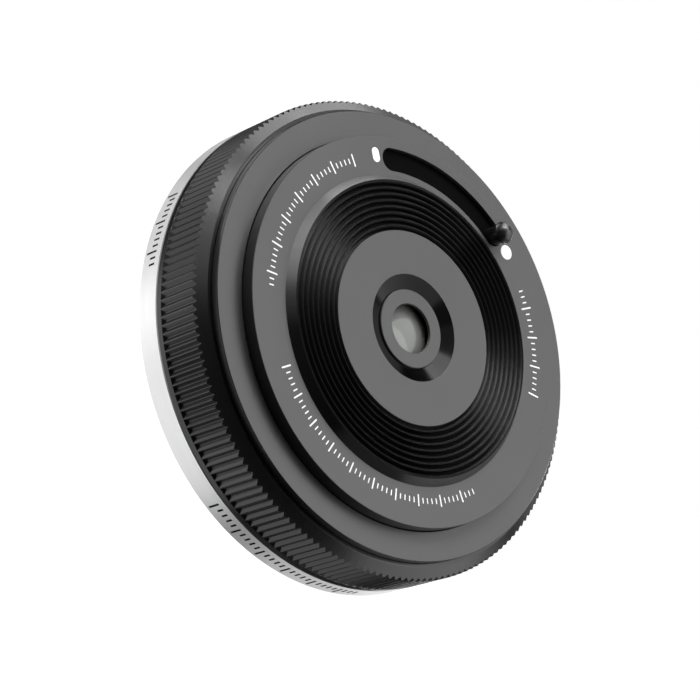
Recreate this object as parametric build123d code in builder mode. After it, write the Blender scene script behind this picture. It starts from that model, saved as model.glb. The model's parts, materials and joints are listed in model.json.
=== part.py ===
from build123d import *
import os
from math import acos, atan2, cos, degrees, hypot, pi, radians, sin, sqrt

# Thin ("pancake") autofocus prime lens with a built-in sliding lens cover.
# Frame: origin at the centre of the bayonet flange's seating face, +Z along
# the optical axis towards the subject, +Y towards the top of the lens.
# All sizes in millimetres.

os.makedirs("parts", exist_ok=True)

# ---------------------------------------------------------------- dimensions
R_BODY = 30.15          # outside radius of the barrel
Z_FACE = 15.30          # seating face to the centre disc's face

# camera bayonet
R_FLANGE = 26.95        # outside radius of the chrome flange
T_FLANGE = 1.20
R_BARREL = 21.60        # outside radius of the bayonet barrel
R_BARREL_IN = 20.45
Z_BARREL = -5.20
R_TAB = 22.90
Z_TAB = (-3.25, -2.05)
TAB_ANGLES = (28.0, 148.0, 268.0)   # middle of each bayonet tab
TAB_SWEEP = 48.0
R_MOUNT_SCREWS = 24.30
MOUNT_SCREW_ANGLES = (45.0, 135.0, 225.0, 315.0)
R_LOCK_HOLE = 1.30
LOCK_POS = (-24.30, 0.0)

# outer barrel
Z_SILVER = 3.565
Z_GRIP = 3.60
Z_KNURL = (4.45, 10.39)
R_ROOT = 29.80
R_GRIP_LIP = 28.69        # flat lip inside the front chamfer
Z_GRIP_TOP = 11.39
N_KNURL = 186
KNURL_LAND = 0.14       # share of the pitch left as land
KNURL_ROOT = 0.10       # share of the pitch at the bottom of a groove
R_GRIP_BORE = 27.95
R_CHASSIS = 27.85
Z_CHASSIS_TOP = 11.40
R_RIM = 28.16
R_RIM_IN = 24.53
Z_RIM = 12.50

# front face
R_PLATE = 24.467
Z_PLATE = 14.287
T_PLATE = 0.527
R_PLATE_IN = 11.40
Z_SKIRT = 12.74
R_RIBS_OUT = 18.636
R_RIBS_FOOT = 19.434
R_RIBS_IN = 12.25
N_RIBS = 8
D_RIB = 0.52
R_DISC = 12.213
R_SINK = 6.737          # countersink at the disc's face
R_BEZEL = 4.935
R_PUPIL = 3.111
Z_BEZEL = 14.80

# cover slide in the front plate
R_SLOT = 21.66
W_SLOT = 3.00
SLOT_ENDS = (-118.75, -61.25)
LEVER_REST = -115.30
LEVER_SWING = 50.60
R_LEVER = 1.20
DOT_AT = (22.07, -122.3)
PILL_AT = (22.05, -58.5)

# cover blades
Y_PIVOT = 9.00
BLADE_SWING = 26.0
BLADE_T = 0.12
Z_BLADE_A = 14.16
Z_BLADE_B = 13.98
R_FOLLOWER = 0.45
FOLLOWER_ARM = 3.0
Z_RING = (13.20, 13.66)
R_RING = (7.55, 23.20)

# inside
Z_FLOOR = (1.30, 2.50)
Z_BRIDGE = (9.90, 10.90)
R_CELL = 6.80
Z_CELL = (6.60, 13.62)
Y_ROD = 13.0
R_ROD = 0.80


def polar(r, a):
    return (r * cos(radians(a)), r * sin(radians(a)))


def bulge(r, z_rim, z_vertex):
    """Height of a spherical surface half way from its rim to its vertex."""
    s = z_vertex - z_rim
    big = (r * r + s * s) / (2 * abs(s))
    drop = big - sqrt(big * big - (r / 2) ** 2)
    return z_vertex - drop if s > 0 else z_vertex + drop


# ============================================================ camera bayonet
# Turned and chromed: flange, barrel and three bayonet tabs.
with BuildPart() as bayonet_mount:
    with BuildSketch(Plane.XZ):
        with BuildLine():
            Polyline(
                (R_BARREL_IN, T_FLANGE), (R_FLANGE, T_FLANGE), (R_FLANGE, 0.10), (R_FLANGE - 0.10, 0.0),
                (R_BARREL, 0.0), (R_BARREL, Z_BARREL + 0.30), (R_BARREL - 0.30, Z_BARREL),
                (R_BARREL_IN + 0.15, Z_BARREL), (R_BARREL_IN, Z_BARREL + 0.15), close=True,
            )
        make_face()
    revolve(axis=Axis.Z)
    with BuildSketch(Plane.XY.offset(Z_TAB[0])):
        for mid in TAB_ANGLES:
            a0 = mid - TAB_SWEEP / 2
            a1 = mid + TAB_SWEEP / 2
            with BuildLine():
                CenterArc((0, 0), R_BARREL - 0.2, a0, TAB_SWEEP)
                CenterArc((0, 0), R_TAB, a0, TAB_SWEEP)
                Line(polar(R_BARREL - 0.2, a0), polar(R_TAB, a0))
                Line(polar(R_BARREL - 0.2, a1), polar(R_TAB, a1))
            make_face()
    extrude(amount=Z_TAB[1] - Z_TAB[0])
    # screw holes with 90 degree countersinks opening on the seating face
    with BuildSketch(Plane.XY):
        with Locations([polar(R_MOUNT_SCREWS, a) for a in MOUNT_SCREW_ANGLES]):
            Circle(0.85)
    extrude(amount=T_FLANGE, mode=Mode.SUBTRACT)
    with Locations([(*polar(R_MOUNT_SCREWS, a), 0.35) for a in MOUNT_SCREW_ANGLES]):
        Cone(1.55, 0.85, 0.70, mode=Mode.SUBTRACT)
    # hole for the camera's lock pin
    with BuildSketch(Plane.XY):
        with Locations(LOCK_POS):
            Circle(R_LOCK_HOLE)
    extrude(amount=T_FLANGE, mode=Mode.SUBTRACT)
bayonet_mount.part.label = "bayonet_mount"
export_step(bayonet_mount.part, "parts/bayonet_mount.step")

# Four countersunk cross-head screws through the flange.
with BuildPart() as mount_screws:
    with Locations([(*polar(R_MOUNT_SCREWS, a), 0.375) for a in MOUNT_SCREW_ANGLES]):
        Cone(1.50, 0.82, 0.65)
    with BuildSketch(Plane.XY.offset(0.6)):
        with Locations([polar(R_MOUNT_SCREWS, a) for a in MOUNT_SCREW_ANGLES]):
            Circle(0.78)
    extrude(amount=3.0)
    with BuildSketch(Plane.XY):
        with Locations([Location((*polar(R_MOUNT_SCREWS, a), 0), (0, 0, a + 20)) for a in MOUNT_SCREW_ANGLES]):
            Rectangle(1.60, 0.30)
            Rectangle(0.30, 1.60)
    extrude(amount=0.40, mode=Mode.SUBTRACT)
mount_screws.part.label = "mount_screws"
export_step(mount_screws.part, "parts/mount_screws.step")

# Bright ring round the flange.
with BuildPart() as mount_ring:
    with BuildSketch(Plane.XZ):
        with BuildLine():
            Polyline(
                (27.05, 0.12), (R_BODY - 0.18, 0.12), (R_BODY, 0.30), (R_BODY, Z_SILVER - 0.12),
                (R_BODY - 0.12, Z_SILVER), (27.95, Z_SILVER), (27.95, 1.26), (27.05, 1.26), close=True,
            )
        make_face()
    revolve(axis=Axis.Z)
mount_ring.part.label = "mount_ring"
export_step(mount_ring.part, "parts/mount_ring.step")

# ================================================================ rear block
CONTACT_HALF = 41.0
with BuildPart() as rear_baffle:
    with BuildSketch(Plane.XZ):
        with BuildLine():
            Polyline(
                (0, -4.40), (20.15, -4.40), (20.35, -4.20), (20.35, 1.20), (19.35, 1.20),
                (19.35, -3.60), (0, -3.60), close=True,
            )
        make_face()
    revolve(axis=Axis.Z)
    with BuildSketch(Plane.XY.offset(-3.60)):
        with Locations((17.4, 0), (-17.4, 0)):
            Circle(1.60)
    extrude(amount=4.80)
    with BuildSketch(Plane.XY.offset(-4.40)):
        RectangleRounded(21.0, 14.5, 1.2)
    extrude(amount=0.80, mode=Mode.SUBTRACT)
    # seat of the contact block
    with BuildSketch(Plane.XY.offset(-4.40)):
        with BuildLine():
            CenterArc((0, 0), 15.9, -90 - CONTACT_HALF - 0.5, 2 * CONTACT_HALF + 1)
            CenterArc((0, 0), 19.35, -90 - CONTACT_HALF - 0.5, 2 * CONTACT_HALF + 1)
            Line(polar(15.9, -90 - CONTACT_HALF - 0.5), polar(19.35, -90 - CONTACT_HALF - 0.5))
            Line(polar(15.9, -90 + CONTACT_HALF + 0.5), polar(19.35, -90 + CONTACT_HALF + 0.5))
        make_face()
    extrude(amount=0.80, mode=Mode.SUBTRACT)
    with BuildSketch(Plane.XY.offset(-4.40)):
        with Locations((17.4, 0), (-17.4, 0)):
            Circle(1.05)
    extrude(amount=0.60, mode=Mode.SUBTRACT)
    with BuildSketch(Plane.XY.offset(-4.40)):
        with Locations((17.4, 0), (-17.4, 0)):
            Circle(0.55)
    extrude(amount=5.60, mode=Mode.SUBTRACT)
rear_baffle.part.label = "rear_baffle"
export_step(rear_baffle.part, "parts/rear_baffle.step")

with BuildPart() as baffle_screws:
    with BuildSketch(Plane.XY.offset(-4.35)):
        with Locations((17.4, 0), (-17.4, 0)):
            Circle(0.98)
    extrude(amount=0.55)
    with BuildSketch(Plane.XY.offset(-3.80)):
        with Locations((17.4, 0), (-17.4, 0)):
            Circle(0.50)
    extrude(amount=5.90)
    with BuildSketch(Plane.XY.offset(-4.35)):
        with Locations(Location((17.4, 0, 0), (0, 0, 30)), Location((-17.4, 0, 0), (0, 0, 10))):
            Rectangle(1.20, 0.24)
            Rectangle(0.24, 1.20)
    extrude(amount=0.30, mode=Mode.SUBTRACT)
baffle_screws.part.label = "baffle_screws"
export_step(baffle_screws.part, "parts/baffle_screws.step")

N_PINS = 10
PIN_STEP = 7.0
PIN_R = 17.6
PIN_ANGLES = [-90 + (i - (N_PINS - 1) / 2) * PIN_STEP for i in range(N_PINS)]
with BuildPart() as contact_block:
    with BuildSketch(Plane.XY.offset(-4.60)):
        with BuildLine():
            CenterArc((0, 0), 16.0, -90 - CONTACT_HALF, 2 * CONTACT_HALF)
            CenterArc((0, 0), 19.25, -90 - CONTACT_HALF, 2 * CONTACT_HALF)
            Line(polar(16.0, -90 - CONTACT_HALF), polar(19.25, -90 - CONTACT_HALF))
            Line(polar(16.0, -90 + CONTACT_HALF), polar(19.25, -90 + CONTACT_HALF))
        make_face()
    extrude(amount=4.60 + Z_FLOOR[0])
    with BuildSketch(Plane.XY.offset(-4.60)):
        with Locations([polar(PIN_R, a) for a in PIN_ANGLES]):
            Circle(0.55)
    extrude(amount=1.20, mode=Mode.SUBTRACT)
    with BuildSketch(Plane.XY.offset(-4.60)):
        with Locations([polar(PIN_R, a) for a in (-90 - 37, -90 + 37)]):
            Circle(0.90)
    extrude(amount=0.60, mode=Mode.SUBTRACT)
    with BuildSketch(Plane.XY.offset(-4.60)):
        with Locations([polar(PIN_R, a) for a in (-90 - 37, -90 + 37)]):
            Circle(0.50)
    extrude(amount=4.60 + Z_FLOOR[0], mode=Mode.SUBTRACT)
contact_block.part.label = "contact_block"
export_step(contact_block.part, "parts/contact_block.step")

# Gold contact pins, one every seven degrees.
with BuildPart() as contact_pins:
    with BuildSketch(Plane.XY.offset(-4.95)):
        with Locations([polar(PIN_R, a) for a in PIN_ANGLES]):
            Circle(0.55)
    extrude(amount=1.55)
    chamfer(contact_pins.faces().sort_by(Axis.Z)[:N_PINS].edges(), length=0.15)
contact_pins.part.label = "contact_pins"
export_step(contact_pins.part, "parts/contact_pins.step")

with BuildPart() as contact_screws:
    with BuildSketch(Plane.XY.offset(-4.55)):
        with Locations([polar(PIN_R, a) for a in (-90 - 37, -90 + 37)]):
            Circle(0.85)
    extrude(amount=0.55)
    with BuildSketch(Plane.XY.offset(-4.00)):
        with Locations([polar(PIN_R, a) for a in (-90 - 37, -90 + 37)]):
            Circle(0.45)
    extrude(amount=6.10)
    with BuildSketch(Plane.XY.offset(-4.55)):
        with Locations([polar(PIN_R, a) for a in (-90 - 37, -90 + 37)]):
            Rectangle(1.00, 0.22)
            Rectangle(0.22, 1.00)
    extrude(amount=0.30, mode=Mode.SUBTRACT)
contact_screws.part.label = "contact_screws"
export_step(contact_screws.part, "parts/contact_screws.step")

# Rear element in its cell.
R_REAR = 10.40
with BuildPart() as rear_element:
    with BuildSketch(Plane.XZ):
        with BuildLine():
            ThreePointArc((0, -1.60), (R_REAR / 2, bulge(R_REAR, -0.90, -1.60)), (R_REAR, -0.90))
            Line((R_REAR, -0.90), (R_REAR, -2.55))
            ThreePointArc((R_REAR, -2.55), (R_REAR / 2, bulge(R_REAR, -2.55, -2.95)), (0, -2.95))
            Line((0, -2.95), (0, -1.60))
        make_face()
    revolve(axis=Axis.Z)
rear_element.part.label = "rear_element"
export_step(rear_element.part, "parts/rear_element.step")

REAR_SCREW_ANGLES = (45.0, 165.0, 285.0)
with BuildPart() as rear_cell:
    with BuildSketch(Plane.XZ):
        with BuildLine():
            Polyline(
                (9.75, -3.10), (11.80, -3.10), (11.80, 0.50), (15.40, 0.50), (15.40, Z_FLOOR[0]),
                (10.42, Z_FLOOR[0]), (10.42, -2.60), (9.95, -2.60), close=True,
            )
        make_face()
    revolve(axis=Axis.Z)
    with BuildSketch(Plane.XY.offset(0.5)):
        with Locations([polar(13.6, a) for a in REAR_SCREW_ANGLES]):
            Circle(0.55)
    extrude(amount=0.8, mode=Mode.SUBTRACT)
rear_cell.part.label = "rear_cell"
export_step(rear_cell.part, "parts/rear_cell.step")

with BuildPart() as rear_retainer:
    with BuildSketch(Plane.XZ):
        with BuildLine():
            Polyline((9.60, -0.88), (10.40, -0.88), (10.40, 0.10), (9.30, 0.10), close=True)
        make_face()
    revolve(axis=Axis.Z)
rear_retainer.part.label = "rear_retainer"
export_step(rear_retainer.part, "parts/rear_retainer.step")

with BuildPart() as rear_cell_screws:
    with BuildSketch(Plane.XY.offset(0.0)):
        with Locations([polar(13.6, a) for a in REAR_SCREW_ANGLES]):
            Circle(0.90)
    extrude(amount=0.50)
    with BuildSketch(Plane.XY.offset(0.5)):
        with Locations([polar(13.6, a) for a in REAR_SCREW_ANGLES]):
            Circle(0.50)
    extrude(amount=1.70)
rear_cell_screws.part.label = "rear_cell_screws"
export_step(rear_cell_screws.part, "parts/rear_cell_screws.step")

# =================================================================== chassis
PCB_POSTS = [polar(19.5, a) for a in (60.0, 180.0, 320.0)]
BRIDGE_SCREWS = [polar(25.45, a) for a in (30.0, 150.0, 270.0)]
FLEX_Y = -18.60
with BuildPart() as chassis:
    with BuildSketch(Plane.XZ):
        with BuildLine():
            Polyline(
                (10.45, Z_FLOOR[0]), (R_CHASSIS, Z_FLOOR[0]), (R_CHASSIS, Z_CHASSIS_TOP), (26.60, Z_CHASSIS_TOP),
                (26.60, Z_BRIDGE[0]), (24.30, Z_BRIDGE[0]), (24.30, Z_FLOOR[1]), (10.45, Z_FLOOR[1]), close=True,
            )
        make_face()
    revolve(axis=Axis.Z)
    # lightening pockets between the wall's screw bosses
    with BuildSketch(Plane.XY.offset(Z_BRIDGE[0])):
        for mid in (90.0, 210.0, 330.0):
            with BuildLine():
                CenterArc((0, 0), 24.9, mid - 48, 96)
                CenterArc((0, 0), 26.6, mid - 48, 96)
                Line(polar(24.9, mid - 48), polar(26.6, mid - 48))
                Line(polar(24.9, mid + 48), polar(26.6, mid + 48))
            make_face()
    extrude(amount=-6.0, mode=Mode.SUBTRACT)
    # posts for the circuit board
    with BuildSketch(Plane.XY.offset(Z_FLOOR[1])):
        with Locations(PCB_POSTS):
            Circle(1.30)
    extrude(amount=0.70)
    with BuildSketch(Plane.XY.offset(2.0)):
        with Locations(PCB_POSTS):
            Circle(0.50)
    extrude(amount=1.2, mode=Mode.SUBTRACT)
    # blind seats of the guide rods
    with BuildSketch(Plane.XY.offset(2.0)):
        with Locations((0, Y_ROD), (0, -Y_ROD)):
            Circle(R_ROD)
    extrude(amount=0.50, mode=Mode.SUBTRACT)
    # holes for the fasteners that come from the rear
    with BuildSketch(Plane.XY.offset(Z_FLOOR[0])):
        with Locations([polar(13.6, a) for a in REAR_SCREW_ANGLES]):
            Circle(0.50)
        with Locations((17.4, 0), (-17.4, 0)):
            Circle(0.50)
        with Locations([polar(PIN_R, a) for a in (-90 - 37, -90 + 37)]):
            Circle(0.45)
    extrude(amount=1.00, mode=Mode.SUBTRACT)
    with BuildSketch(Plane.XY.offset(Z_FLOOR[0])):
        with Locations([polar(R_MOUNT_SCREWS, a) for a in MOUNT_SCREW_ANGLES]):
            Circle(0.78)
    extrude(amount=2.40, mode=Mode.SUBTRACT)
    with BuildSketch(Plane.XY.offset(Z_BRIDGE[0])):
        with Locations(BRIDGE_SCREWS):
            Circle(0.50)
    extrude(amount=-2.2, mode=Mode.SUBTRACT)
    # way for the contact flex
    with BuildSketch(Plane.XY.offset(Z_FLOOR[0])):
        with Locations((0, FLEX_Y)):
            Rectangle(8.8, 0.50)
    extrude(amount=1.2, mode=Mode.SUBTRACT)
chassis.part.label = "chassis"
export_step(chassis.part, "parts/chassis.step")

# ============================================================== outer barrel
# Fixed grip ring: straight knurl whose grooves run out at the rear and break
# through the front chamfer.
pitch = 2 * pi / N_KNURL
knurl_points = []
for i in range(N_KNURL):
    a = i * pitch
    for share, r in (
        (-KNURL_LAND / 2, R_BODY),
        (KNURL_LAND / 2, R_BODY),
        (0.5 - KNURL_ROOT / 2, R_ROOT),
        (0.5 + KNURL_ROOT / 2, R_ROOT),
    ):
        knurl_points.append((r * cos(a + share * pitch), r * sin(a + share * pitch)))
with BuildPart() as grip_ring:
    with BuildSketch(Plane.XY.offset(Z_KNURL[0] + 0.02)):
        with BuildLine():
            Polyline(*knurl_points, close=True)
        make_face()
        Circle(R_GRIP_BORE, mode=Mode.SUBTRACT)
    extrude(amount=Z_GRIP_TOP - Z_KNURL[0] - 0.02)
    with BuildSketch(Plane.XZ):
        with BuildLine():
            Polyline(
                (R_GRIP_BORE, Z_GRIP), (R_BODY, Z_GRIP), (R_BODY, Z_KNURL[0]),
                (R_ROOT - 0.02, Z_KNURL[0] + 0.45), (R_GRIP_BORE, Z_KNURL[0] + 0.45), close=True,
            )
        make_face()
    revolve(axis=Axis.Z)
    with BuildSketch(Plane.XZ):
        with BuildLine():
            Polyline(
                (R_GRIP_BORE, Z_GRIP), (R_BODY - 0.10, Z_GRIP), (R_BODY, Z_GRIP + 0.10), (R_BODY, Z_KNURL[1]),
                (R_GRIP_LIP, Z_GRIP_TOP), (R_RIM + 0.05, Z_GRIP_TOP), (R_RIM + 0.05, 10.85), (R_GRIP_BORE, 10.85),
                close=True,
            )
        make_face()
    revolve(axis=Axis.Z, mode=Mode.INTERSECT)
grip_ring.part.label = "grip_ring"
export_step(grip_ring.part, "parts/grip_ring.step")

# Stepped ring between the grip and the front plate, flat up to the plate's wall.
with BuildPart() as front_rim:
    with BuildSketch(Plane.XZ):
        with BuildLine():
            Polyline(
                (R_RIM_IN + 0.05, Z_RIM), (R_RIM - 0.07, Z_RIM), (R_RIM, Z_RIM - 0.07), (R_RIM, Z_CHASSIS_TOP),
                (26.50, Z_CHASSIS_TOP), (26.50, 10.98), (R_RIM_IN, 10.98), (R_RIM_IN, Z_RIM - 0.05), close=True,
            )
        make_face()
    revolve(axis=Axis.Z)
front_rim.part.label = "front_rim"
export_step(front_rim.part, "parts/front_rim.step")

# ================================================================ front face
with BuildPart() as front_plate:
    with BuildSketch(Plane.XZ):
        with BuildLine():
            Polyline(
                (R_PLATE_IN, Z_PLATE), (R_PLATE - 0.07, Z_PLATE), (R_PLATE, Z_PLATE - 0.07), (R_PLATE, 12.25),
                (24.14, 12.25), (24.14, Z_SKIRT), (23.55, Z_SKIRT), (23.55, Z_PLATE - T_PLATE), (R_PLATE_IN, Z_PLATE - T_PLATE), close=True,
            )
        make_face()
    revolve(axis=Axis.Z)
    # arc slot of the cover lever, with full-round ends
    cap = degrees(W_SLOT / 2 / R_SLOT)
    s0, s1 = SLOT_ENDS[0] + cap, SLOT_ENDS[1] - cap
    with BuildSketch(Plane.XY.offset(Z_PLATE - T_PLATE)):
        with BuildLine():
            CenterArc((0, 0), R_SLOT - W_SLOT / 2, s0, s1 - s0)
            CenterArc((0, 0), R_SLOT + W_SLOT / 2, s0, s1 - s0)
            CenterArc(polar(R_SLOT, s0), W_SLOT / 2, s0 + 180, 180)
            CenterArc(polar(R_SLOT, s1), W_SLOT / 2, s1, 180)
        make_face()
    extrude(amount=T_PLATE, mode=Mode.SUBTRACT)
    # shallow pockets for the two enamel marks
    with BuildSketch(Plane.XY.offset(Z_PLATE - 0.15)):
        with Locations(polar(*DOT_AT)):
            Circle(0.95)
        with Locations(Location((*polar(*PILL_AT), 0), (0, 0, PILL_AT[1]))):
            SlotOverall(1.90, 1.13)
    extrude(amount=0.15, mode=Mode.SUBTRACT)
front_plate.part.label = "front_plate"
export_step(front_plate.part, "parts/front_plate.step")

with BuildPart() as mark_open:
    with BuildSketch(Plane.XY.offset(Z_PLATE - 0.15)):
        with Locations(polar(*DOT_AT)):
            Circle(0.95)
    extrude(amount=0.165)
mark_open.part.label = "mark_open"
export_step(mark_open.part, "parts/mark_open.step")

with BuildPart() as mark_closed:
    with BuildSketch(Plane.XY.offset(Z_PLATE - 0.15)):
        with Locations(Location((*polar(*PILL_AT), 0), (0, 0, PILL_AT[1]))):
            SlotOverall(1.90, 1.13)
    extrude(amount=0.165)
mark_closed.part.label = "mark_closed"
export_step(mark_closed.part, "parts/mark_closed.step")

# Ring of concentric anti-reflection ribs.
rib_pitch = (R_RIBS_OUT - R_RIBS_IN) / N_RIBS
rib_points = [(R_RIBS_IN, Z_PLATE), (R_RIBS_IN, Z_FACE - D_RIB)]
for i in range(N_RIBS):
    r = R_RIBS_IN + i * rib_pitch
    rib_points += [
        (r + 0.30 * rib_pitch, Z_FACE - D_RIB),
        (r + 0.62 * rib_pitch, Z_FACE),
        (r + 0.86 * rib_pitch if i < N_RIBS - 1 else R_RIBS_OUT, Z_FACE),
    ]
    if i < N_RIBS - 1:
        rib_points += [(r + rib_pitch, Z_FACE - D_RIB)]
rib_points += [(R_RIBS_FOOT, Z_PLATE)]
with BuildPart() as ribbed_ring:
    with BuildSketch(Plane.XZ):
        with BuildLine():
            Polyline(*rib_points, close=True)
        make_face()
    revolve(axis=Axis.Z)
ribbed_ring.part.label = "ribbed_ring"
export_step(ribbed_ring.part, "parts/ribbed_ring.step")

Z_DISC_UNDER = 14.36
with BuildPart() as centre_disc:
    with BuildSketch(Plane.XZ):
        with BuildLine():
            Polyline(
                (4.985, 14.62), (R_SINK, Z_FACE), (R_DISC - 0.05, Z_FACE), (R_DISC, Z_FACE - 0.05), (R_DISC, Z_PLATE),
                (R_PLATE_IN, Z_PLATE), (R_PLATE_IN, Z_DISC_UNDER), (4.985, Z_DISC_UNDER), close=True,
            )
        make_face()
    revolve(axis=Axis.Z)
    # blind seats of the blade pivots
    with BuildSketch(Plane.XY.offset(Z_DISC_UNDER)):
        with Locations((0, Y_PIVOT), (0, -Y_PIVOT)):
            Circle(0.60)
    extrude(amount=0.50, mode=Mode.SUBTRACT)
centre_disc.part.label = "centre_disc"
export_step(centre_disc.part, "parts/centre_disc.step")

with BuildPart() as front_bezel:
    with BuildSketch(Plane.XZ):
        with BuildLine():
            Polyline(
                (R_PUPIL, 14.42), (R_PUPIL, Z_BEZEL - 0.06), (R_PUPIL + 0.06, Z_BEZEL), (R_BEZEL - 0.08, Z_BEZEL),
                (R_BEZEL, Z_BEZEL - 0.08), (R_BEZEL, Z_DISC_UNDER), (R_PUPIL + 0.06, Z_DISC_UNDER), close=True,
            )
        make_face()
    revolve(axis=Axis.Z)
front_bezel.part.label = "front_bezel"
export_step(front_bezel.part, "parts/front_bezel.step")

# ============================================================ cover mechanism
BASE_SCREWS = [polar(22.5, a) for a in (0.0, 120.0, 210.0)]
BALL_AT = polar(19.65, 60.0)
with BuildPart() as cover_base:
    with BuildSketch(Plane.XZ):
        with BuildLine():
            Polyline(
                (6.95, 12.20), (24.10, 12.20), (24.10, 12.70), (23.45, 12.70), (23.45, 13.10),
                (7.50, 13.10), (7.50, 13.66), (6.95, 13.66), close=True,
            )
        make_face()
    revolve(axis=Axis.Z)
    with BuildSketch(Plane.XY.offset(12.20)):
        with Locations(BALL_AT):
            Circle(0.51)
        with Locations(BASE_SCREWS):
            Circle(0.50)
    extrude(amount=0.90, mode=Mode.SUBTRACT)
    with Locations([(*p, 12.90) for p in BASE_SCREWS]):
        Cone(0.50, 0.92, 0.40, mode=Mode.SUBTRACT)
cover_base.part.label = "cover_base"
export_step(cover_base.part, "parts/cover_base.step")

with BuildPart() as base_screws:
    with Locations([(*p, 12.88) for p in BASE_SCREWS]):
        Cone(0.50, 0.88, 0.36)
    with BuildSketch(Plane.XY.offset(11.25)):
        with Locations(BASE_SCREWS):
            Circle(0.48)
    extrude(amount=1.50)
base_screws.part.label = "base_screws"
export_step(base_screws.part, "parts/base_screws.step")

# Click stop: a ball in the base, pressed into the ring's dimples by a leaf.
with BuildPart() as click_ball:
    with Locations((*BALL_AT, 12.67)):
        Sphere(0.49)
click_ball.part.label = "click_ball"
export_step(click_ball.part, "parts/click_ball.step")

with BuildPart() as click_spring:
    with BuildSketch(Plane.XY.offset(12.06)):
        with Locations(Location((*polar(17.2, 60.0), 0), (0, 0, 60.0))):
            SlotOverall(7.0, 1.8)
    extrude(amount=0.115)
click_spring.part.label = "click_spring"
export_step(click_spring.part, "parts/click_spring.step")

# Follower pin of blade A in the fixed frame at a drive-ring angle beta: the
# blade turns back by the fixed ratio as the ring turns forward.
ratio = BLADE_SWING / LEVER_SWING
FOLLOWER_REST = 180.0 + BLADE_SWING / 2      # direction of the follower from its pivot


def follower_in_ring(beta):
    a = radians(FOLLOWER_REST - ratio * beta)
    x, y = FOLLOWER_ARM * cos(a), -Y_PIVOT + FOLLOWER_ARM * sin(a)
    b = radians(-beta)
    return (x * cos(b) - y * sin(b), x * sin(b) + y * cos(b))


CAM_STEPS = 12
over = 1.2                                   # over-travel at each end, degrees
cam_path = [follower_in_ring(-over + (LEVER_SWING + 2 * over) * i / CAM_STEPS) for i in range(CAM_STEPS + 1)]
cam_half = R_FOLLOWER + 0.04


def cam_outline(points, half):
    """Closed outline of a slot of half width half along the points."""
    left, right = [], []
    for i, (x, y) in enumerate(points):
        x0, y0 = points[max(i - 1, 0)]
        x1, y1 = points[min(i + 1, len(points) - 1)]
        n = hypot(x1 - x0, y1 - y0)
        nx, ny = -(y1 - y0) / n, (x1 - x0) / n
        left.append((x + half * nx, y + half * ny))
        right.append((x - half * nx, y - half * ny))
    return left, right


cam_left, cam_right = cam_outline(cam_path, cam_half)
lever_xy = polar(R_SLOT, LEVER_REST)
with BuildPart() as drive_ring:
    with BuildSketch(Plane.XY.offset(Z_RING[0])):
        Circle(R_RING[1])
        Circle(R_RING[0], mode=Mode.SUBTRACT)
        # lightening windows
        for mid in (LEVER_REST + 72 * k + 36 for k in range(5)):
            with BuildLine():
                CenterArc((0, 0), 12.6, mid - 26, 52)
                CenterArc((0, 0), 18.4, mid - 26, 52)
                Line(polar(12.6, mid - 26), polar(18.4, mid - 26))
                Line(polar(12.6, mid + 26), polar(18.4, mid + 26))
            make_face(mode=Mode.SUBTRACT)
        with Locations(lever_xy):
            Circle(0.80, mode=Mode.SUBTRACT)
        # cam slots, half a turn apart
        for turn in (1, -1):
            with BuildLine():
                Spline(*[(turn * x, turn * y) for x, y in cam_left])
                Spline(*[(turn * x, turn * y) for x, y in cam_right])
                Line((turn * cam_left[0][0], turn * cam_left[0][1]), (turn * cam_right[0][0], turn * cam_right[0][1]))
                Line((turn * cam_left[-1][0], turn * cam_left[-1][1]), (turn * cam_right[-1][0], turn * cam_right[-1][1]))
            make_face(mode=Mode.SUBTRACT)
            with Locations((turn * cam_path[0][0], turn * cam_path[0][1]), (turn * cam_path[-1][0], turn * cam_path[-1][1])):
                Circle(cam_half, mode=Mode.SUBTRACT)
    extrude(amount=Z_RING[1] - Z_RING[0])
    # dimples of the click stop, at the two ends of the travel
    with Locations((*BALL_AT, 12.72), (*polar(19.65, 60.0 - LEVER_SWING), 12.72)):
        Sphere(0.55, mode=Mode.SUBTRACT)
drive_ring.part.label = "drive_ring"
export_step(drive_ring.part, "parts/drive_ring.step")

with BuildPart() as cover_lever:
    with BuildSketch(Plane(origin=(*lever_xy, 0), x_dir=(1, 0, 0), z_dir=(0, -1, 0))):
        with BuildLine():
            Polyline(
                (0, 17.10), (0, Z_RING[0]), (0.80, Z_RING[0]), (0.80, Z_RING[1]), (R_LEVER, Z_RING[1]),
                (R_LEVER, 15.56), (1.42, 15.78), (1.42, 16.08),
            )
            ThreePointArc((1.42, 16.08), (0.71, bulge(1.42, 16.08, 17.10)), (0, 17.10))
        make_face()
    revolve(axis=Axis((*lever_xy, 0), (0, 0, 1)))
cover_lever.part.label = "cover_lever"
export_step(cover_lever.part, "parts/cover_lever.step")


# Blade outline in its own frame: pivot at the origin, closed blade along +Y.
HALF_R = 3.55
EDGE_X = 0.25
edge_a = degrees(acos(EDGE_X / HALF_R))
tab = (FOLLOWER_ARM * cos(radians(180 - BLADE_SWING / 2)), FOLLOWER_ARM * sin(radians(180 - BLADE_SWING / 2)))
tab_n = (-tab[1] / FOLLOWER_ARM * 0.85, tab[0] / FOLLOWER_ARM * 0.85)


def blade_plane(turn, z):
    a = radians(BLADE_SWING + (0 if turn > 0 else 180))
    return Plane(origin=(0, -Y_PIVOT * turn, z), x_dir=(cos(a), sin(a), 0), z_dir=(0, 0, 1))


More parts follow.
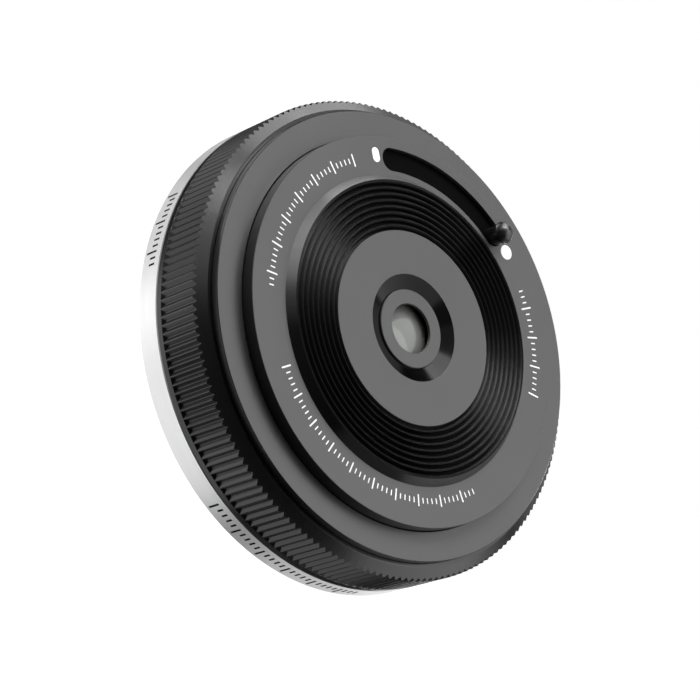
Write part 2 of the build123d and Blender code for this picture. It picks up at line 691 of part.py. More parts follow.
with BuildPart() as blade_a:
    with BuildSketch(blade_plane(1, Z_BLADE_A)):
        with BuildLine():
            CenterArc((0, Y_PIVOT), HALF_R, edge_a, 360 - 2 * edge_a)
            Line(
                (EDGE_X, Y_PIVOT + HALF_R * sin(radians(edge_a))), (EDGE_X, Y_PIVOT - HALF_R * sin(radians(edge_a)))
            )
        make_face()
        with BuildLine():
            Polyline((EDGE_X, 0), (EDGE_X, Y_PIVOT), (-3.30, Y_PIVOT - 1.0), (-1.25, 0.2), close=True)
        make_face()
        Circle(1.30)
        with BuildLine():
            Polyline(
                (tab_n[0], tab_n[1]), (tab[0] + tab_n[0], tab[1] + tab_n[1]),
                (tab[0] - tab_n[0], tab[1] - tab_n[1]), (-tab_n[0], -tab_n[1]), close=True,
            )
        make_face()
        with Locations(tab):
            Circle(0.85)
            Circle(0.30, mode=Mode.SUBTRACT)
        Circle(0.65, mode=Mode.SUBTRACT)
    extrude(amount=BLADE_T)
blade_a.part.label = "blade_a"
export_step(blade_a.part, "parts/blade_a.step")

with BuildPart() as blade_b:
    with BuildSketch(blade_plane(-1, Z_BLADE_B)):
        with BuildLine():
            CenterArc((0, Y_PIVOT), HALF_R, edge_a, 360 - 2 * edge_a)
            Line(
                (EDGE_X, Y_PIVOT + HALF_R * sin(radians(edge_a))), (EDGE_X, Y_PIVOT - HALF_R * sin(radians(edge_a)))
            )
        make_face()
        with BuildLine():
            Polyline((EDGE_X, 0), (EDGE_X, Y_PIVOT), (-3.30, Y_PIVOT - 1.0), (-1.25, 0.2), close=True)
        make_face()
        Circle(1.30)
        with BuildLine():
            Polyline(
                (tab_n[0], tab_n[1]), (tab[0] + tab_n[0], tab[1] + tab_n[1]),
                (tab[0] - tab_n[0], tab[1] - tab_n[1]), (-tab_n[0], -tab_n[1]), close=True,
            )
        make_face()
        with Locations(tab):
            Circle(0.85)
            Circle(0.30, mode=Mode.SUBTRACT)
        Circle(0.65, mode=Mode.SUBTRACT)
    extrude(amount=BLADE_T)
blade_b.part.label = "blade_b"
export_step(blade_b.part, "parts/blade_b.step")

# Riveted follower pins, one under each blade.
with BuildPart() as follower_a:
    with BuildSketch(blade_plane(1, 13.30)):
        with Locations(tab):
            Circle(R_FOLLOWER)
    extrude(amount=Z_BLADE_A - 13.30)
    with BuildSketch(blade_plane(1, Z_BLADE_A)):
        with Locations(tab):
            Circle(0.30)
    extrude(amount=BLADE_T)
follower_a.part.label = "follower_a"
export_step(follower_a.part, "parts/follower_a.step")

with BuildPart() as follower_b:
    with BuildSketch(blade_plane(-1, 13.30)):
        with Locations(tab):
            Circle(R_FOLLOWER)
    extrude(amount=Z_BLADE_B - 13.30)
    with BuildSketch(blade_plane(-1, Z_BLADE_B)):
        with Locations(tab):
            Circle(0.30)
    extrude(amount=BLADE_T)
follower_b.part.label = "follower_b"
export_step(follower_b.part, "parts/follower_b.step")

# Headed pivots of the blades, pressed into the centre disc's underside.
with BuildPart() as blade_pivots:
    with BuildSketch(Plane.XY.offset(Z_BLADE_A - 0.30)):
        with Locations((0, -Y_PIVOT)):
            Circle(0.95)
    extrude(amount=0.25)
    with BuildSketch(Plane.XY.offset(Z_BLADE_A - 0.05)):
        with Locations((0, -Y_PIVOT)):
            Circle(0.60)
    extrude(amount=14.80 - Z_BLADE_A + 0.05)
    with BuildSketch(Plane.XY.offset(Z_BLADE_B - 0.26)):
        with Locations((0, Y_PIVOT)):
            Circle(0.95)
    extrude(amount=0.21)
    with BuildSketch(Plane.XY.offset(Z_BLADE_B - 0.05)):
        with Locations((0, Y_PIVOT)):
            Circle(0.60)
    extrude(amount=14.80 - Z_BLADE_B + 0.05)
blade_pivots.part.label = "blade_pivots"
export_step(blade_pivots.part, "parts/blade_pivots.step")

# =============================================================== front optics
CELL_SCREWS = [polar(7.75, a) for a in (90.0, 210.0, 330.0)]
with BuildPart() as front_cell:
    with BuildSketch(Plane.XZ):
        with BuildLine():
            Polyline(
                (3.62, Z_CELL[1]), (R_CELL - 0.2, Z_CELL[1]), (R_CELL, Z_CELL[1] - 0.2), (R_CELL, 11.75), (8.80, 11.75),
                (8.80, Z_BRIDGE[1]), (R_CELL, Z_BRIDGE[1]), (R_CELL, Z_CELL[0]), (4.62, Z_CELL[0]), (4.62, 10.40),
                (2.90, 10.40), (2.90, 10.90), (3.62, 10.90), close=True,
            )
        make_face()
    revolve(axis=Axis.Z)
    with BuildSketch(Plane.XY.offset(Z_BRIDGE[1])):
        with Locations(CELL_SCREWS):
            Circle(0.45)
    extrude(amount=0.85, mode=Mode.SUBTRACT)
front_cell.part.label = "front_cell"
export_step(front_cell.part, "parts/front_cell.step")

with BuildPart() as cell_screws:
    with BuildSketch(Plane.XY.offset(11.75)):
        with Locations(CELL_SCREWS):
            Circle(0.75)
    extrude(amount=0.35)
    with BuildSketch(Plane.XY.offset(10.20)):
        with Locations(CELL_SCREWS):
            Circle(0.40)
    extrude(amount=1.55)
cell_screws.part.label = "cell_screws"
export_step(cell_screws.part, "parts/cell_screws.step")

R_L1 = 3.60
with BuildPart() as lens_front:
    with BuildSketch(Plane.XZ):
        with BuildLine():
            ThreePointArc((0, 13.80), (R_L1 / 2, bulge(R_L1, 13.46, 13.80)), (R_L1, 13.46))
            Line((R_L1, 13.46), (R_L1, 12.60))
            ThreePointArc((R_L1, 12.60), (R_L1 / 2, bulge(R_L1, 12.60, 12.85)), (0, 12.85))
            Line((0, 12.85), (0, 13.80))
        make_face()
    revolve(axis=Axis.Z)
lens_front.part.label = "lens_front"
export_step(lens_front.part, "parts/lens_front.step")

with BuildPart() as spacer_front:
    with BuildSketch(Plane.XZ):
        with BuildLine():
            Polyline((3.10, 11.90), (3.60, 11.90), (3.60, 12.60), (3.10, 12.60), close=True)
        make_face()
    revolve(axis=Axis.Z)
spacer_front.part.label = "spacer_front"
export_step(spacer_front.part, "parts/spacer_front.step")

with BuildPart() as lens_second:
    with BuildSketch(Plane.XZ):
        with BuildLine():
            ThreePointArc((0, 11.55), (R_L1 / 2, bulge(R_L1, 11.90, 11.55)), (R_L1, 11.90))
            Line((R_L1, 11.90), (R_L1, 10.90))
            ThreePointArc((R_L1, 10.90), (R_L1 / 2, bulge(R_L1, 10.90, 11.20)), (0, 11.20))
            Line((0, 11.20), (0, 11.55))
        make_face()
    revolve(axis=Axis.Z)
lens_second.part.label = "lens_second"
export_step(lens_second.part, "parts/lens_second.step")

with BuildPart() as aperture_stop:
    with BuildSketch(Plane.XY.offset(10.25)):
        Circle(4.60)
        Circle(2.20, mode=Mode.SUBTRACT)
    extrude(amount=0.15)
aperture_stop.part.label = "aperture_stop"
export_step(aperture_stop.part, "parts/aperture_stop.step")

R_L3 = 4.60
with BuildPart() as lens_third:
    with BuildSketch(Plane.XZ):
        with BuildLine():
            ThreePointArc((0, 9.70), (R_L3 / 2, bulge(R_L3, 10.20, 9.70)), (R_L3, 10.20))
            Line((R_L3, 10.20), (R_L3, 8.90))
            ThreePointArc((R_L3, 8.90), (R_L3 / 2, bulge(R_L3, 8.90, 8.40)), (0, 8.40))
            Line((0, 8.40), (0, 9.70))
        make_face()
    revolve(axis=Axis.Z)
lens_third.part.label = "lens_third"
export_step(lens_third.part, "parts/lens_third.step")

with BuildPart() as spacer_rear:
    with BuildSketch(Plane.XZ):
        with BuildLine():
            Polyline((4.00, 8.30), (4.60, 8.30), (4.60, 8.90), (4.25, 8.90), close=True)
        make_face()
    revolve(axis=Axis.Z)
spacer_rear.part.label = "spacer_rear"
export_step(spacer_rear.part, "parts/spacer_rear.step")

with BuildPart() as lens_fourth:
    with BuildSketch(Plane.XZ):
        with BuildLine():
            ThreePointArc((0, 7.95), (R_L3 / 2, bulge(R_L3, 8.30, 7.95)), (R_L3, 8.30))
            Line((R_L3, 8.30), (R_L3, 7.50))
            ThreePointArc((R_L3, 7.50), (R_L3 / 2, bulge(R_L3, 7.50, 7.05)), (0, 7.05))
            Line((0, 7.05), (0, 7.95))
        make_face()
    revolve(axis=Axis.Z)
lens_fourth.part.label = "lens_fourth"
export_step(lens_fourth.part, "parts/lens_fourth.step")

with BuildPart() as cell_retainer:
    with BuildSketch(Plane.XZ):
        with BuildLine():
            Polyline((3.75, 6.75), (4.60, 6.75), (4.60, 7.50), (4.20, 7.50), close=True)
        make_face()
    revolve(axis=Axis.Z)
cell_retainer.part.label = "cell_retainer"
export_step(cell_retainer.part, "parts/cell_retainer.step")

# Bridge across the chassis: carries the front cell, the cover base and the
# front ends of the guide rods.
with BuildPart() as lens_bridge:
    with BuildSketch(Plane.XZ):
        with BuildLine():
            Polyline(
                (6.88, Z_BRIDGE[0]), (26.50, Z_BRIDGE[0]), (26.50, Z_BRIDGE[1]), (24.10, Z_BRIDGE[1]), (24.10, 12.20),
                (21.80, 12.20), (21.80, Z_BRIDGE[1]), (6.88, Z_BRIDGE[1]), close=True,
            )
        make_face()
    revolve(axis=Axis.Z)
    with BuildSketch(Plane.XY.offset(Z_BRIDGE[0])):
        for mid in (0.0, 60.0, 120.0, 180.0, 240.0, 300.0):
            with BuildLine():
                CenterArc((0, 0), 15.2, mid - 20, 40)
                CenterArc((0, 0), 20.6, mid - 20, 40)
                Line(polar(15.2, mid - 20), polar(20.6, mid - 20))
                Line(polar(15.2, mid + 20), polar(20.6, mid + 20))
            make_face()
    extrude(amount=1.0, mode=Mode.SUBTRACT)
    with BuildSketch(Plane.XY.offset(Z_BRIDGE[0])):
        with Locations((0, Y_ROD), (0, -Y_ROD)):
            Circle(R_ROD)
    extrude(amount=0.50, mode=Mode.SUBTRACT)
    with BuildSketch(Plane.XY.offset(Z_BRIDGE[0])):
        with Locations(BRIDGE_SCREWS):
            Circle(0.55)
        with Locations(CELL_SCREWS):
            Circle(0.40)
    extrude(amount=1.0, mode=Mode.SUBTRACT)
    with BuildSketch(Plane.XY.offset(Z_BRIDGE[1] - 0.50)):
        with Locations(BRIDGE_SCREWS):
            Circle(0.90)
    extrude(amount=0.50, mode=Mode.SUBTRACT)
    with BuildSketch(Plane.XY.offset(11.10)):
        with Locations(BASE_SCREWS):
            Circle(0.48)
    extrude(amount=1.10, mode=Mode.SUBTRACT)
lens_bridge.part.label = "lens_bridge"
export_step(lens_bridge.part, "parts/lens_bridge.step")

with BuildPart() as bridge_screws:
    with BuildSketch(Plane.XY.offset(Z_BRIDGE[1] - 0.50)):
        with Locations(BRIDGE_SCREWS):
            Circle(0.85)
    extrude(amount=0.45)
    with BuildSketch(Plane.XY.offset(7.80)):
        with Locations(BRIDGE_SCREWS):
            Circle(0.50)
    extrude(amount=Z_BRIDGE[1] - 0.50 - 7.80)
bridge_screws.part.label = "bridge_screws"
export_step(bridge_screws.part, "parts/bridge_screws.step")

# ============================================================== focus drive
with BuildPart() as guide_rods:
    with BuildSketch(Plane.XY.offset(2.0)):
        with Locations((0, Y_ROD), (0, -Y_ROD)):
            Circle(R_ROD)
    extrude(amount=Z_BRIDGE[0] + 0.50 - 2.0)
guide_rods.part.label = "guide_rods"
export_step(guide_rods.part, "parts/guide_rods.step")

with BuildPart() as focus_cell:
    with BuildSketch(Plane.XY.offset(3.10)):
        Circle(9.15)
        Rectangle(3.0, 2 * Y_ROD)
        with Locations((0, Y_ROD), (0, -Y_ROD)):
            Circle(1.50)
        Circle(4.40, mode=Mode.SUBTRACT)
    extrude(amount=0.60)
    with BuildSketch(Plane.XY.offset(3.10)):
        Circle(6.30)
        Circle(5.02, mode=Mode.SUBTRACT)
        with Locations((0, Y_ROD), (0, -Y_ROD)):
            Circle(1.50)
    extrude(amount=1.80)
    with BuildSketch(Plane.XY.offset(3.60)):
        Circle(5.02)
    extrude(amount=0.20, mode=Mode.SUBTRACT)
    with BuildSketch(Plane.XY.offset(3.10)):
        with Locations((0, Y_ROD), (0, -Y_ROD)):
            Circle(R_ROD + 0.03)
    extrude(amount=1.80, mode=Mode.SUBTRACT)
focus_cell.part.label = "focus_cell"
export_step(focus_cell.part, "parts/focus_cell.step")

with BuildPart() as focus_element:
    with BuildSketch(Plane.XZ):
        with BuildLine():
            ThreePointArc((0, 4.15), (2.5, bulge(5.0, 4.60, 4.15)), (5.0, 4.60))
            Line((5.0, 4.60), (5.0, 3.62))
            ThreePointArc((5.0, 3.62), (2.5, bulge(5.0, 3.62, 3.85)), (0, 3.85))
            Line((0, 3.85), (0, 4.15))
        make_face()
    revolve(axis=Axis.Z)
focus_element.part.label = "focus_element"
export_step(focus_element.part, "parts/focus_element.step")

with BuildPart() as voice_coil:
    with BuildSketch(Plane.XY.offset(3.70)):
        Circle(9.10)
        Circle(8.05, mode=Mode.SUBTRACT)
    extrude(amount=2.40)
voice_coil.part.label = "voice_coil"
export_step(voice_coil.part, "parts/voice_coil.step")

with BuildPart() as position_magnet:
    with Locations((0, 10.75, 4.30)):
        Box(2.20, 1.30, 1.20)
position_magnet.part.label = "position_magnet"
export_step(position_magnet.part, "parts/position_magnet.step")

with BuildPart() as position_sensor:
    with Locations((2.75, 10.9, 4.20)):
        Box(0.80, 1.60, 3.40)
position_sensor.part.label = "position_sensor"
export_step(position_sensor.part, "parts/position_sensor.step")

with BuildPart() as drive_magnets:
    with BuildSketch(Plane.XY.offset(3.10)):
        for mid in (0.0, 180.0):
            with BuildLine():
                CenterArc((0, 0), 9.40, mid - 45, 90)
                CenterArc((0, 0), 11.0, mid - 45, 90)
                Line(polar(9.40, mid - 45), polar(11.0, mid - 45))
                Line(polar(9.40, mid + 45), polar(11.0, mid + 45))
            make_face()
    extrude(amount=5.40)
drive_magnets.part.label = "drive_magnets"
export_step(drive_magnets.part, "parts/drive_magnets.step")

with BuildPart() as drive_yokes:
    with BuildSketch(Plane.XY.offset(Z_FLOOR[1])):
        for mid in (0.0, 180.0):
            with BuildLine():
                CenterArc((0, 0), 11.0, mid - 47, 94)
                CenterArc((0, 0), 12.0, mid - 47, 94)
                Line(polar(11.0, mid - 47), polar(12.0, mid - 47))
                Line(polar(11.0, mid + 47), polar(12.0, mid + 47))
            make_face()
    extrude(amount=Z_BRIDGE[0] - Z_FLOOR[1])
drive_yokes.part.label = "drive_yokes"
export_step(drive_yokes.part, "parts/drive_yokes.step")

with BuildPart() as main_board:
    with BuildSketch(Plane.XY.offset(3.20)):
        Circle(24.0)
        Circle(15.0, mode=Mode.SUBTRACT)
        with Locations(PCB_POSTS):
            Circle(0.55, mode=Mode.SUBTRACT)
        with Locations((0, FLEX_Y)):
            Rectangle(9.0, 0.60, mode=Mode.SUBTRACT)
        with Locations([polar(R_MOUNT_SCREWS, a) for a in MOUNT_SCREW_ANGLES]):
            Circle(1.20, mode=Mode.SUBTRACT)
    extrude(amount=0.80)
main_board.part.label = "main_board"
export_step(main_board.part, "parts/main_board.step")

with BuildPart() as board_chips:
    with BuildSketch(Plane.XY.offset(4.0)):
        with Locations(Location((*polar(19.4, 20.0), 0), (0, 0, 20)), Location((*polar(19.4, 150.0), 0), (0, 0, 150))):
            Rectangle(5.0, 5.0)
        with Locations(Location((*polar(19.4, 95.0), 0), (0, 0, 95)), Location((*polar(19.4, 225.0), 0), (0, 0, 225))):
            Rectangle(3.0, 4.0)
    extrude(amount=0.85)
board_chips.part.label = "board_chips"
export_step(board_chips.part, "parts/board_chips.step")

with BuildPart() as board_screws:
    with BuildSketch(Plane.XY.offset(4.0)):
        with Locations(PCB_POSTS):
            Circle(0.95)
    extrude(amount=0.45)
    with BuildSketch(Plane.XY.offset(2.1)):
        with Locations(PCB_POSTS):
            Circle(0.50)
    extrude(amount=1.90)
board_screws.part.label = "board_screws"
export_step(board_screws.part, "parts/board_screws.step")

with BuildPart() as contact_flex:
    with BuildSketch(Plane.YZ.offset(-4.0)):
        with BuildLine():
            Polyline(
                (FLEX_Y - 0.08, Z_FLOOR[0]), (FLEX_Y + 0.08, Z_FLOOR[0]), (FLEX_Y + 0.08, 4.04),
                (FLEX_Y + 1.00, 4.04), (FLEX_Y + 1.00, 4.20), (FLEX_Y - 0.08, 4.20), close=True,
            )
        make_face()
    extrude(amount=8.0)
contact_flex.part.label = "contact_flex"
export_step(contact_flex.part, "parts/contact_flex.step")

with BuildPart() as board_socket:
    with Locations((0, FLEX_Y + 1.9, 4.45)):
        Box(9.0, 1.80, 0.90)
board_socket.part.label = "board_socket"
export_step(board_socket.part, "parts/board_socket.step")
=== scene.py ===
import bpy, bmesh, json, math, random
from mathutils import Matrix, Vector


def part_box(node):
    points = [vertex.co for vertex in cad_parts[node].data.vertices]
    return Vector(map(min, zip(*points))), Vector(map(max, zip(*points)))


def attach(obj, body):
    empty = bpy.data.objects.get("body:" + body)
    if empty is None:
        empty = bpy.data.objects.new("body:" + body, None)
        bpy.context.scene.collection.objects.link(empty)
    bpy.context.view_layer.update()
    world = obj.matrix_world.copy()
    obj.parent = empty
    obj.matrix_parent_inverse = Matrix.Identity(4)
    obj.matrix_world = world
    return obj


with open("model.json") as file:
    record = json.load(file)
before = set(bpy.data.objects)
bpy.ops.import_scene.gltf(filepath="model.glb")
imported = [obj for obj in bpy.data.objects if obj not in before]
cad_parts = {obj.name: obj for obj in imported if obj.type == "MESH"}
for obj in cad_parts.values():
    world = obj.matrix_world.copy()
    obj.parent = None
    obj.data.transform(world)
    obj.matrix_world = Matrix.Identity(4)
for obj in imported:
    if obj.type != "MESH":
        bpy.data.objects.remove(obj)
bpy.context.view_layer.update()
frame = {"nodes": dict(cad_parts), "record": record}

MM = 0.001
nodes = frame["nodes"]
scene = bpy.context.scene

# ------------------------------------------------------------------ the view
# Axes of the camera (x right, y down, z away) against the lens: n is the
# optical axis, U and V span the front face.
TH, PS = math.radians(44.627), math.radians(-19.649)
vx, vy = math.cos(PS), math.sin(PS)
ux, uy = -vy, vx
AX_N = Vector((math.sin(TH) * vx, math.sin(TH) * vy, -math.cos(TH)))
AX_U = Vector((ux, uy, 0.0))
AX_V = Vector((math.cos(TH) * vx, math.cos(TH) * vy, math.sin(TH)))
TURN = math.radians(225.5)
ROW_X = math.cos(TURN) * AX_U + math.sin(TURN) * AX_V
ROW_Y = math.cos(TURN + math.pi / 2) * AX_U + math.sin(TURN + math.pi / 2) * AX_V
ROW_Z = AX_N
FOCAL_PX, DIST = 2660.4, 321.19
T = Vector(((414.088 - 350) / FOCAL_PX * DIST, (327.48 - 350) / FOCAL_PX * DIST, DIST))


def to_row(v):
    """A direction in camera axes, in the lens's frame."""
    v = Vector(v)
    return Vector((v.dot(ROW_X), v.dot(ROW_Y), v.dot(ROW_Z)))


cam_pos = (Vector((0, 0, 15.3)) - to_row(T)) * MM
right, up, back = to_row((1, 0, 0)), to_row((0, -1, 0)), to_row((0, 0, -1))
cam_data = bpy.data.cameras.new("camera")
cam_data.sensor_width = 36.0
cam_data.sensor_fit = "HORIZONTAL"
cam_data.lens = FOCAL_PX / 700 * 36.0
cam_data.clip_start = 0.01
cam_data.clip_end = 50.0
camera = bpy.data.objects.new("camera", cam_data)
scene.collection.objects.link(camera)
m = Matrix.Identity(4)
for r in range(3):
    m[r][0], m[r][1], m[r][2], m[r][3] = right[r], up[r], back[r], cam_pos[r]
camera.matrix_world = m
scene.camera = camera
scene.view_settings.view_transform = "Standard"
scene.view_settings.look = "None"
scene.view_settings.exposure = 0.0
scene.view_settings.gamma = 1.0


# ------------------------------------------------------------------- lights
# Round soft panels on a 0.6 m tent round the lens. The bright ring, the ribs
# and the rest of the black parts each have their own set (light linking), as
# flagged softboxes would give in a studio.
TENT = 0.6


def receivers(name, chosen):
    c = bpy.data.collections.new(name)
    for ob in chosen:
        c.objects.link(ob)
    return c


BRIGHT = ("mount_ring", "bayonet_mount", "mount_screws", "baffle_screws", "contact_pins", "contact_screws")
bright_set = receivers("lit_bright", [nodes[n] for n in BRIGHT])
ribs_set = receivers("lit_ribs", [nodes["ribbed_ring"]])
black_set = receivers("lit_black", [ob for n, ob in nodes.items() if n not in BRIGHT and n != "ribbed_ring"])


def panel(name, group, direction, radius, radiance):
    d = to_row(direction).normalized()
    data = bpy.data.lights.new(name, "AREA")
    data.shape = "DISK"
    data.size = 2 * radius
    data.energy = radiance * math.pi * math.pi * radius * radius
    ob = bpy.data.objects.new(name, data)
    scene.collection.objects.link(ob)
    ob.matrix_world = Matrix.Translation(Vector((0, 0, 0.010)) + d * TENT) @ d.to_track_quat("Z", "Y").to_matrix().to_4x4()
    ob.visible_camera = False
    ob.light_linking.receiver_collection = group
    return ob


SMALL, LARGE = 0.15, 0.42
PANELS = [
    ("black", (0.41, -0.84, -0.37), SMALL, 8.72),
    ("black", (0.69, -0.71, -0.12), SMALL, 6.02),
    ("black", (0.94, -0.19, -0.29), SMALL, 1.52),
    ("black", (0.40, -0.91, 0.08), SMALL, 3.53),
    ("black", (0.45, -0.79, 0.42), SMALL, 2.88),
    ("black", (-0.20, 0.96, 0.18), SMALL, 0.66),
    ("black", (-0.94, 0.24, 0.25), LARGE, 1.08),
    ("black", (0.99, 0.14, -0.08), LARGE, 1.43),
    ("black", (-0.05, -0.76, -0.65), SMALL, 0.66),
    ("black", (-0.85, -0.49, -0.20), LARGE, 0.4),
    ("black", (0.41, -0.84, -0.37), LARGE, 0.41),
    ("black", (0.37, -0.14, 0.92), LARGE, 0.37),
    ("black", (0.58, 0.79, 0.21), LARGE, 0.33),
    ("black", (0.94, -0.19, -0.29), LARGE, 0.21),
    ("black", (-0.58, -0.81, -0.01), SMALL, 6.08),
    ("black", (-0.30, -0.94, 0.18), SMALL, 1.77),
    ("black", (0.17, 0.19, 0.97), SMALL, 4.04),
    ("black", (0.25, 0.91, 0.32), SMALL, 3.51),
    ("ribs", (0.41, -0.84, -0.37), SMALL, 10.81),
    ("ribs", (0.07, -0.96, -0.26), LARGE, 3.19),
    ("ribs", (0.19, -0.66, 0.73), LARGE, 4.77),
    ("ribs", (0.79, -0.26, 0.56), LARGE, 0.1),
    ("ribs", (0.62, 0.59, 0.52), LARGE, 0.85),
    ("ribs", (0.43, 0.86, -0.27), LARGE, 0.21),
    ("ribs", (-0.60, -0.70, -0.30), LARGE, 0.77),
    ("bright", (-0.67, 0.11, 0.73), LARGE, 0.9),
    ("bright", (-0.94, 0.24, 0.25), LARGE, 0.7),
    ("bright", (-0.75, -0.61, 0.26), LARGE, 0.33),
    ("bright", (-0.04, 0.51, 0.86), LARGE, 0.58),
    ("bright", (-0.74, 0.44, 0.51), LARGE, 0.14),
    ("bright", (-0.94, 0.24, 0.25), SMALL, 0.56),
    ("bright", (0.05, -0.60, -0.80), LARGE, 0.33),
    ("bright", (0.69, -0.60, -0.40), LARGE, 0.3),
    ("bright", (-0.49, -0.21, 0.84), SMALL, 0.51),
    ("bright", (0.59, 0.41, 0.70), LARGE, 0.75),
    ("bright", (0.18, -0.70, 0.69), LARGE, 0.75),
]
GROUPS = {"black": black_set, "ribs": ribs_set, "bright": bright_set}
for i, (group, direction, radius, radiance) in enumerate(PANELS):
    panel("panel_%s_%02d" % (group, i), GROUPS[group], direction, radius, radiance)

world = bpy.data.worlds.new("studio")
scene.world = world
world.use_nodes = True
bg = world.node_tree.nodes["Background"]
bg.inputs["Color"].default_value = (1, 1, 1, 1)
bg.inputs["Strength"].default_value = 0.02


# ---------------------------------------------------------------- materials
def material(name):
    mt = bpy.data.materials.new(name)
    mt.use_nodes = True
    nt = mt.node_tree
    b = nt.nodes["Principled BSDF"]
    return mt, nt, b


def link(nt, a, b):
    nt.links.new(a, b)


def coords(nt, scale=(1, 1, 1)):
    tc = nt.nodes.new("ShaderNodeTexCoord")
    mp = nt.nodes.new("ShaderNodeMapping")
    mp.inputs["Scale"].default_value = scale
    link(nt, tc.outputs["Object"], mp.inputs["Vector"])
    return tc, mp


def noise(nt, vec, scale, detail=3.0, rough=0.5):
    n = nt.nodes.new("ShaderNodeTexNoise")
    n.inputs["Scale"].default_value = scale
    n.inputs["Detail"].default_value = detail
    n.inputs["Roughness"].default_value = rough
    link(nt, vec, n.inputs["Vector"])
    return n


def remap(nt, sock, a, b, c, d):
    r = nt.nodes.new("ShaderNodeMapRange")
    r.inputs["From Min"].default_value = a
    r.inputs["From Max"].default_value = b
    r.inputs["To Min"].default_value = c
    r.inputs["To Max"].default_value = d
    link(nt, sock, r.inputs["Value"])
    return r.outputs["Result"]


def polar_vector(nt, k_r, k_a, k_z):
    """Vector (radius, angle, height) for turned and circumferential grain."""
    tc = nt.nodes.new("ShaderNodeTexCoord")
    sep = nt.nodes.new("ShaderNodeSeparateXYZ")
    link(nt, tc.outputs["Object"], sep.inputs[0])

    def math_node(op, a, b=None, value=None):
        n = nt.nodes.new("ShaderNodeMath")
        n.operation = op
        link(nt, a, n.inputs[0])
        if b is not None:
            link(nt, b, n.inputs[1])
        if value is not None:
            n.inputs[1].default_value = value
        return n.outputs[0]

    x2 = math_node("MULTIPLY", sep.outputs[0], sep.outputs[0])
    y2 = math_node("MULTIPLY", sep.outputs[1], sep.outputs[1])
    s = math_node("ADD", x2, y2)
    r = math_node("SQRT", s)
    a = math_node("ARCTAN2", sep.outputs[1], sep.outputs[0])
    cmb = nt.nodes.new("ShaderNodeCombineXYZ")
    link(nt, math_node("MULTIPLY", r, value=k_r), cmb.inputs[0])
    link(nt, math_node("MULTIPLY", a, value=k_a), cmb.inputs[1])
    link(nt, math_node("MULTIPLY", sep.outputs[2], value=k_z), cmb.inputs[2])
    return cmb.outputs[0], r, sep.outputs[2], math_node


def bump(nt, b, height, strength, distance):
    n = nt.nodes.new("ShaderNodeBump")
    n.inputs["Strength"].default_value = strength
    n.inputs["Distance"].default_value = distance
    link(nt, height, n.inputs["Height"])
    link(nt, n.outputs["Normal"], b.inputs["Normal"])
    return n


def grain(nt, scale=5200.0):
    tc, mp = coords(nt)
    fine = noise(nt, mp.outputs[0], scale, 2.0, 0.6)
    broad = noise(nt, mp.outputs[0], 90.0, 3.0, 0.5)
    return fine, broad


def tone(nt, b, fac, dark, light):
    mix = nt.nodes.new("ShaderNodeMix")
    mix.data_type = "RGBA"
    link(nt, fac, mix.inputs["Factor"])
    mix.inputs["A"].default_value = (*dark, 1)
    mix.inputs["B"].default_value = (*light, 1)
    if b is not None:
        link(nt, mix.outputs["Result"], b.inputs["Base Color"])
    return mix


def anodised(name, colour, rough, depth=0.25, spec=0.5, turned=0.0):
    """Black anodised aluminium: fine blasted grain and a faint drift in tone."""
    mt, nt, b = material(name)
    b.inputs["Specular IOR Level"].default_value = spec
    fine, broad = grain(nt)
    tone(nt, b, remap(nt, broad.outputs["Fac"], 0.3, 0.7, 0.0, 1.0), [c * 0.94 for c in colour], [c * 1.06 for c in colour])
    link(nt, remap(nt, fine.outputs["Fac"], 0.3, 0.7, rough - 0.03, rough + 0.03), b.inputs["Roughness"])
    height = fine.outputs["Fac"]
    if turned:
        vec, r, z, mn = polar_vector(nt, 9000.0, 0.6, 9000.0)
        rings = noise(nt, vec, 1.0, 2.0, 0.5)
        height = mn("ADD", mn("MULTIPLY", fine.outputs["Fac"], value=1.0 - turned), mn("MULTIPLY", rings.outputs["Fac"], value=turned))
    bump(nt, b, height, depth, 0.00002)
    return mt


def split_finish(name, where, face, wall):
    """Two finishes of one part: the blasted face and a turned wall or sink.
    where(mn, r, z) is 1 on the face; face and wall are (colour, roughness, specular level)."""
    mt, nt, b = material(name)
    b.inputs["Specular IOR Level"].default_value = face[2]
    fine, broad = grain(nt)
    vec, r, z, mn = polar_vector(nt, 9000.0, 0.6, 9000.0)
    rings = noise(nt, vec, 1.0, 2.0, 0.5)
    on_face = where(mn, r, z)
    drift = remap(nt, broad.outputs["Fac"], 0.3, 0.7, 0.0, 1.0)
    face_tone = tone(nt, None, drift, [c * 0.94 for c in face[0]], [c * 1.06 for c in face[0]])
    mix = nt.nodes.new("ShaderNodeMix")
    mix.data_type = "RGBA"
    link(nt, on_face, mix.inputs["Factor"])
    mix.inputs["A"].default_value = (*wall[0], 1)
    link(nt, face_tone.outputs["Result"], mix.inputs["B"])
    link(nt, mix.outputs["Result"], b.inputs["Base Color"])
    grainy = remap(nt, fine.outputs["Fac"], 0.3, 0.7, -0.03, 0.03)
    link(nt, mn("ADD", remap(nt, on_face, 0.0, 1.0, wall[1], face[1]), grainy), b.inputs["Roughness"])
    h = mn("ADD", mn("MULTIPLY", fine.outputs["Fac"], value=0.6), mn("MULTIPLY", rings.outputs["Fac"], value=0.4))
    bump(nt, b, h, 0.2, 0.00002)
    if abs(face[2] - wall[2]) > 0.01:
        b2 = nt.nodes.new("ShaderNodeBsdfPrincipled")
        b2.inputs["Specular IOR Level"].default_value = wall[2]
        for key in ("Base Color", "Roughness", "Normal"):
            link(nt, b.inputs[key].links[0].from_socket, b2.inputs[key])
        ms = nt.nodes.new("ShaderNodeMixShader")
        out = nt.nodes["Material Output"]
        link(nt, on_face, ms.inputs[0])
        link(nt, b2.outputs[0], ms.inputs[1])
        link(nt, b.outputs[0], ms.inputs[2])
        link(nt, ms.outputs[0], out.inputs["Surface"])
    return mt


